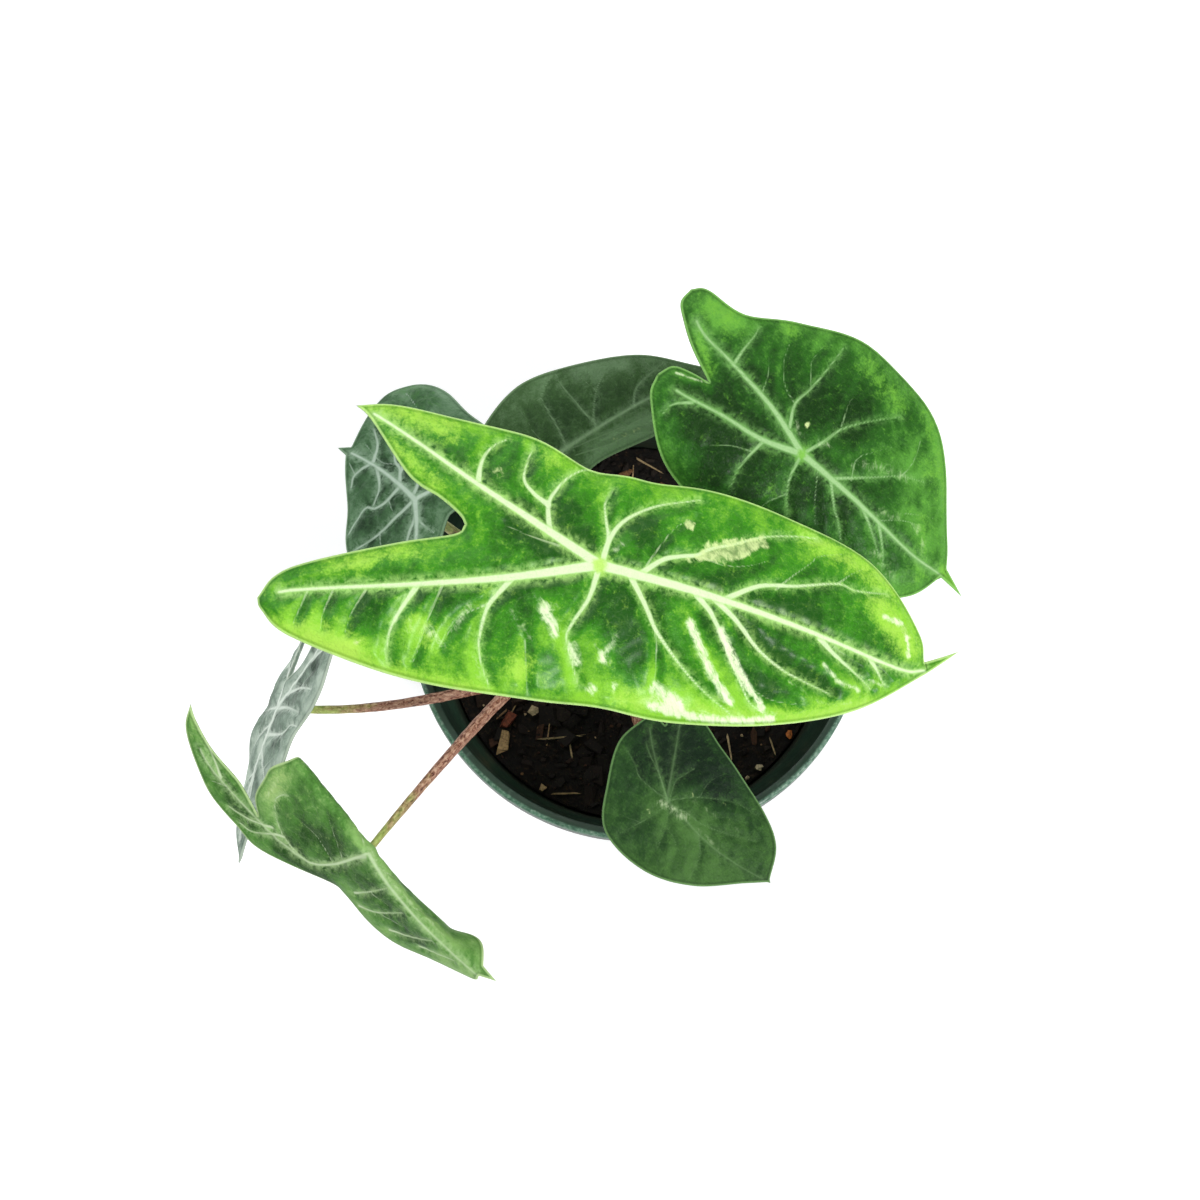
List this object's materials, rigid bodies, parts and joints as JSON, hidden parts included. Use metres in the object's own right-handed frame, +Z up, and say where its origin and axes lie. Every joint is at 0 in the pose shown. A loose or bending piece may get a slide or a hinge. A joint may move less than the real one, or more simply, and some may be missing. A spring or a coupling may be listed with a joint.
{
  "type": "potted foliage plant",
  "caption": "Foliage plant with large arrow-shaped, pale-veined leaves on slender stalks, in a round tapered nursery pot filled with bark mix.",
  "frame": {"origin": "centre of the flat underside of the pot, on the surface it stands on", "axes": "+Z up out of the pot; +X to the right and +Y to the top of the picture, which looks almost straight down, so the plant's front, the camera's side, is -Y"},
  "size_m": [0.2361, 0.2045, 0.2929],
  "materials": {
    "blade_1_big": "satin",
    "blade_2_broad": "satin",
    "blade_3_silver": "satin",
    "blade_4_grey": "satin",
    "blade_5_young": "satin",
    "blade_6_hanging": "satin",
    "blade_7_folded": "satin",
    "stalk": "satin",
    "pot": "satin",
    "soil": "matte"
  },
  "bodies": {
    "root": {"blade_1_big": "blade_1_big", "blade_2_broad": "blade_2_broad", "blade_3_silver": "blade_3_silver", "blade_4_grey": "blade_4_grey", "blade_5_young": "blade_5_young", "blade_6_hanging": "blade_6_hanging", "blade_7_folded": "blade_7_folded", "stalk_1_big": "stalk", "stalk_2_broad": "stalk", "stalk_3_silver": "stalk", "stalk_4_grey": "stalk", "stalk_5_young": "stalk", "stalk_6_hanging": "stalk", "stalk_7_folded": "stalk", "pot": "pot", "soil": "soil"}
  },
  "joints": []
}
